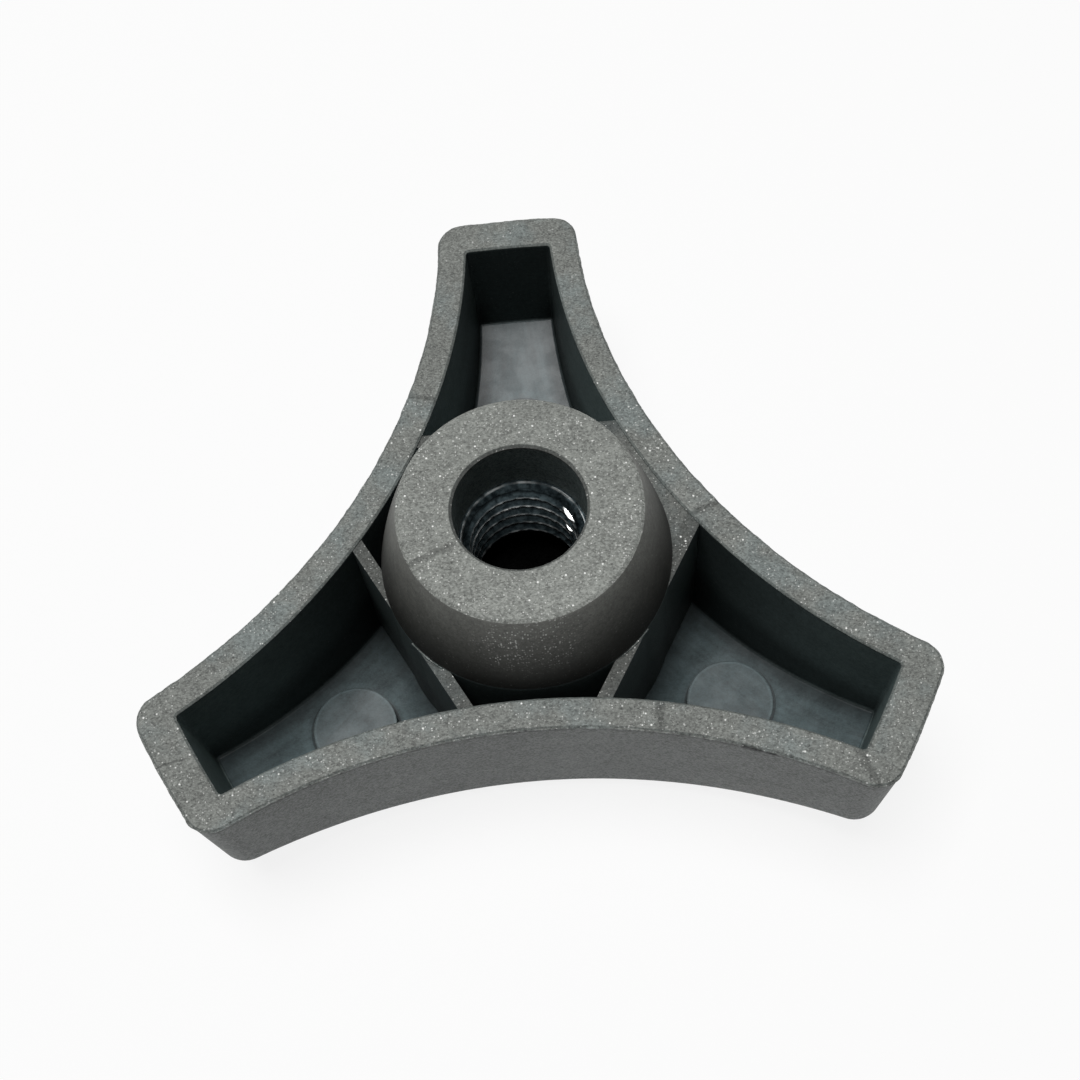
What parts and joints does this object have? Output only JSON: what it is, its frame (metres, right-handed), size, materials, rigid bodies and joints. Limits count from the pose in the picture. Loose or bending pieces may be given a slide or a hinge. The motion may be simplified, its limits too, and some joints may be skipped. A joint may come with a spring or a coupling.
{
  "type": "quick nut",
  "caption": "Star-shaped quick nut: a hollow moulded knob with scalloped arms, a raised boss and a blind steel thread, turned by hand to clamp.",
  "frame": {"origin": "on the bore's axis, on the flat land of the closed face that the part lies on", "axes": "+Z along the bore, out of its mouth; +Y along one arm"},
  "size_m": [0.0746, 0.0654, 0.0301],
  "materials": {
    "grey_plastic": "satin grey with metallic flecks",
    "zinc_steel": "bright zinc plate"
  },
  "bodies": {
    "root": {"knob_body": "grey_plastic", "threaded_insert": "zinc_steel"}
  },
  "joints": []
}
